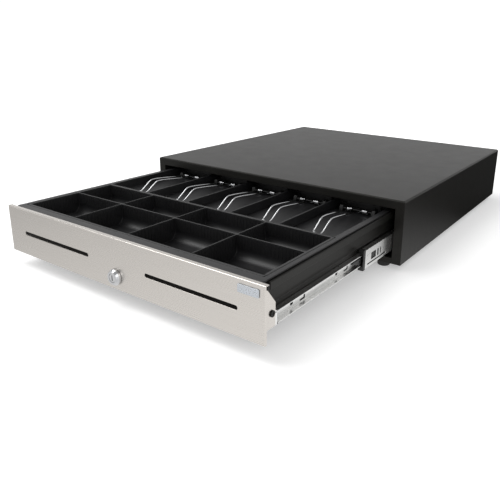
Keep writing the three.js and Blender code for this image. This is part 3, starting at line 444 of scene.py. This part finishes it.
# ---------------------------------------------------------------- coin cups
def coin_cup_ribs():
    """The fine upright ribs moulded into the walls of the eight coin cups."""
    low, high = (Vector(v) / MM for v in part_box("coin_insert"))
    pitch, proud, width, sunk = 5.0, 0.45, 1.3, 0.2
    wall, rim, rim_front, rim_back = 1.8, 1.8, 1.6, 1.7     # cup wall, and the rim past it on each side
    column, row_depth, corner = 101.5, 77.6, 12             # where the cups divide, and their rounded ends
    left, right = low.x + rim, high.x - rim
    front, back = low.y + rim_front + wall, high.y - rim_back - wall
    split = low.y + rim_front + row_depth
    columns = [left + wall / 2, -column, 0, column, right - wall / 2]
    rows = [(front, split - wall / 2), (split + wall / 2, back)]
    top, scoop, deep = high.z - 1.2, high.z - 15.5, high.z - 25
    shape = bmesh.new()

    def rib(x, y, across, inward, bottom):
        """One rib: a low rounded ridge on the wall at (x, y), `across` along it and `inward` off it."""
        half = width / 2
        section = [(-half, -sunk), (half, -sunk), (half, 0.05), (half / 2, proud),
                   (-half / 2, proud), (-half, 0.05)]
        points = [(x + a * across[0] + b * inward[0], y + a * across[1] + b * inward[1]) for a, b in section]
        add_prism(shape, points, lambda a, b, end: (a, b, end), (bottom, top))

    def along(start, end):
        """Evenly pitched places between two walls, centred between them."""
        count = int((end - start) / pitch)
        first = (start + end - (count - 1) * pitch) / 2
        return [first + i * pitch for i in range(count)]

    for y0, y1 in rows:
        for x0, x1 in zip(columns, columns[1:]):
            x0, x1 = x0 + wall / 2, x1 - wall / 2
            for x in along(x0, x1):
                rib(x, y0, (1, 0), (0, 1), scoop)
                rib(x, y1, (1, 0), (0, -1), scoop)
            for y in along(y0, y1):
                bottom = deep if y0 + corner < y < y1 - corner else scoop
                rib(x0, y, (0, 1), (1, 0), bottom)
                rib(x1, y, (0, 1), (-1, 0), bottom)
    bmesh.ops.recalc_face_normals(shape, faces=shape.faces)
    place(new_object("coin_cup_ribs", shape), "coin_tray", "tray")


# ---------------------------------------------------------------- finished copies of the CAD nodes
EDGE_MM = {
    "case_cover": 0.5, "case_base": 0.3, "rear_panel": 0.3, "cable_socket": 0.3,
    "drawer_pan": 0.25, "till_tray": 0.5, "coin_insert": 0.5, "badge": 0.25, "lock_body": 0.25,
    "lock_cam": 0.3, "lock_keeper": 0.3, "lock_plug": 0.15, "latch_striker": 0.3,
    "latch_bracket": 0.25, "latch_lever": 0.3, "solenoid_frame": 0.3, "solenoid_coil": 0.5,
    "solenoid_plunger": 0.3, "micro_switch": 0.3, "ejector_housing": 0.4, "ejector_plunger": 0.3,
}
PREFIX_EDGE_MM = {
    "foot": 0.2, "rail_bracket": 0.3, "cabinet_rail": 0.3, "mid_rail": 0.3, "mid_bumper": 0.3,
    "drawer_rail": 0.3, "release_lever": 0.4, "outer_ball_cage": 0.15, "inner_ball_cage": 0.15,
    "panel_screw": 0.2, "ear_bracket": 0.2, "note_divider": 0.4, "clip_bracket": 0.4,
}
REMADE = ("front_panel", "note_clip")


def edge_width(node):
    """The width in millimetres of a node's rounded edges, or None where it keeps its CAD edges."""
    for prefix, width in PREFIX_EDGE_MM.items():
        if node.startswith(prefix):
            return width
    return EDGE_MM.get(node)


def refine_nodes():
    """Every CAD node that isn't remade gets rounded edges, or at least its finish."""
    for node in sorted(frame["nodes"]):
        if node.startswith(REMADE):
            continue
        width = edge_width(node)
        if width:
            refine(node, width)
        else:
            kept = frame["nodes"][node]
            kept.data.materials.clear()
            kept.data.materials.append(FINISH[SLOT_OF[node]])


def note_clips():
    """A wire clip on the hinge of each note clip's body."""
    for node in sorted(frame["nodes"]):
        if node.startswith("note_clip"):
            joint = next(j for j in frame["record"]["behaviour"]["joints"] if j["child"] == BODY_OF[node])
            note_clip(node, Vector(joint["pos_m"]) / MM)


# ---------------------------------------------------------------- stage
# Each row maps a range of distance, Y, X or height, in metres, to a strength: from, to, strengths there.
FLOOR_GLOW = (0.6, 1.6, 0.37, 0.9)          # what the camera sees, by distance from the middle
PATCH_DEPTH = (-0.18, 0.24, 0.97, 0.02)     # what lights the object, by Y
PATCH_ACROSS = (-0.5, 0.3, 0.56, 1.0)       # and by X
SKY = (0.08, 0.5, 1.15, 0.5)                # what lights the object from all round, by height
FLOOR_DARK, FLOOR_PALE = 0.03, 0.9          # the floor's shade for the object's light, and for the camera
BACKDROP = 1.05                             # the world's strength for the camera


def seen_by_camera(tree):
    """1 where the camera looks straight at the surface, and 0 for the light that reaches the object."""
    return tree.nodes.new("ShaderNodeLightPath").outputs["Is Camera Ray"]


def stage():
    """A plain floor: nearly white to the camera, and dark with one bright patch to the object."""
    shape = bmesh.new()
    bmesh.ops.create_grid(shape, x_segments=1, y_segments=1, size=30.0)
    floor = new_object("floor", shape)
    bpy.context.scene.collection.objects.link(floor)
    n = Nodes("studio_floor")
    axes = n.add("ShaderNodeSeparateXYZ")
    n.link(n.position, axes.inputs["Vector"])
    depth = n.add("ShaderNodeMapRange", clamp=True)
    across = n.add("ShaderNodeMapRange", clamp=True)
    for node, axis, values in ((depth, "Y", PATCH_DEPTH), (across, "X", PATCH_ACROSS)):
        n.link(axes.outputs[axis], node.inputs["Value"])
        for socket, value in zip(("From Min", "From Max", "To Min", "To Max"), values):
            node.inputs[socket].default_value = value
    patch = n.maths("MULTIPLY", depth.outputs["Result"], across.outputs["Result"])
    away = n.add("ShaderNodeVectorMath", operation="LENGTH")
    n.link(n.position, away.inputs[0])
    far = n.add("ShaderNodeMapRange", clamp=True)
    n.link(away.outputs["Value"], far.inputs["Value"])
    for socket, value in zip(("From Min", "From Max", "To Min", "To Max"), FLOOR_GLOW):
        far.inputs[socket].default_value = value
    eye = seen_by_camera(n.tree)
    glow = n.maths("ADD", n.maths("MULTIPLY", eye, far.outputs["Result"]),
                   n.maths("MULTIPLY", n.maths("SUBTRACT", 1, eye), patch))
    n.link(glow, n.shader.inputs["Emission Strength"])
    shade = n.maths("ADD", FLOOR_DARK, n.maths("MULTIPLY", eye, FLOOR_PALE - FLOOR_DARK))
    n.finish(shade, None, None, Roughness=0.9, Specular_IOR_Level=0.0, Emission_Color=(1, 1, 1, 1))
    floor.data.materials.append(n.material)


def area_light(name, place_at, aim, size, power):
    """A white rectangular lamp at one point, turned to another."""
    light = bpy.data.lights.new(name, "AREA")
    light.shape = "RECTANGLE"
    light.size, light.size_y = size
    light.energy = power
    obj = bpy.data.objects.new(name, light)
    bpy.context.scene.collection.objects.link(obj)
    obj.location = place_at
    obj.rotation_euler = (Vector(aim) - Vector(place_at)).to_track_quat("-Z", "Y").to_euler()


def studio():
    """White all round to the camera, and to the object bright low down and dimmer overhead; two lamps."""
    world = bpy.data.worlds.new("studio")
    bpy.context.scene.world = world
    world.use_nodes = True
    tree = world.node_tree
    axes = tree.nodes.new("ShaderNodeSeparateXYZ")
    tree.links.new(tree.nodes.new("ShaderNodeTexCoord").outputs["Generated"], axes.inputs["Vector"])
    height = tree.nodes.new("ShaderNodeMapRange")
    tree.links.new(axes.outputs["Z"], height.inputs["Value"])
    for socket, value in zip(("From Min", "From Max", "To Min", "To Max"), SKY):
        height.inputs[socket].default_value = value
    strength = tree.nodes.new("ShaderNodeMapRange")
    tree.links.new(seen_by_camera(tree), strength.inputs["Value"])
    tree.links.new(height.outputs["Result"], strength.inputs["To Min"])
    strength.inputs["To Max"].default_value = BACKDROP
    background = tree.nodes["Background"]
    background.inputs["Color"].default_value = (1, 1, 1, 1)
    tree.links.new(strength.outputs["Result"], background.inputs["Strength"])
    area_light("key", (-0.9, -0.5, 1.9), (0, 0, 0), (1.6, 1.6), 26)
    area_light("fill", (1.6, -1.6, 1.2), (0, -0.2, 0), (1.2, 1.2), 5)


def camera():
    """The photo's view, fitted to ten corners read in the photo and to further fitted points."""
    azimuth, elevation, roll = (math.radians(a) for a in (34.53, 17.13, 0.98))
    back = Vector((math.sin(azimuth) * math.cos(elevation), -math.cos(azimuth) * math.cos(elevation),
                   math.sin(elevation)))
    right = (-back).cross(Vector((0, 0, 1))).normalized()
    up = right.cross(-back)
    right, up = (right * math.cos(roll) + up * math.sin(roll),
                 up * math.cos(roll) - right * math.sin(roll))
    data = bpy.data.cameras.new("camera")
    data.sensor_width = 36
    data.lens = 39.81
    data.shift_x = -0.06
    data.shift_y = -0.08
    obj = bpy.data.objects.new("camera", data)
    bpy.context.scene.collection.objects.link(obj)
    turn = Matrix((right, up, back)).transposed().to_4x4()
    obj.matrix_world = Matrix.Translation((0.4902, -0.7557, 0.3013)) @ turn
    bpy.context.scene.camera = obj


refine_nodes()
front_panel()
keyway_shade_block()
coin_cup_ribs()
note_clips()
stage()
studio()
camera()
bpy.context.scene.view_settings.view_transform = "Standard"
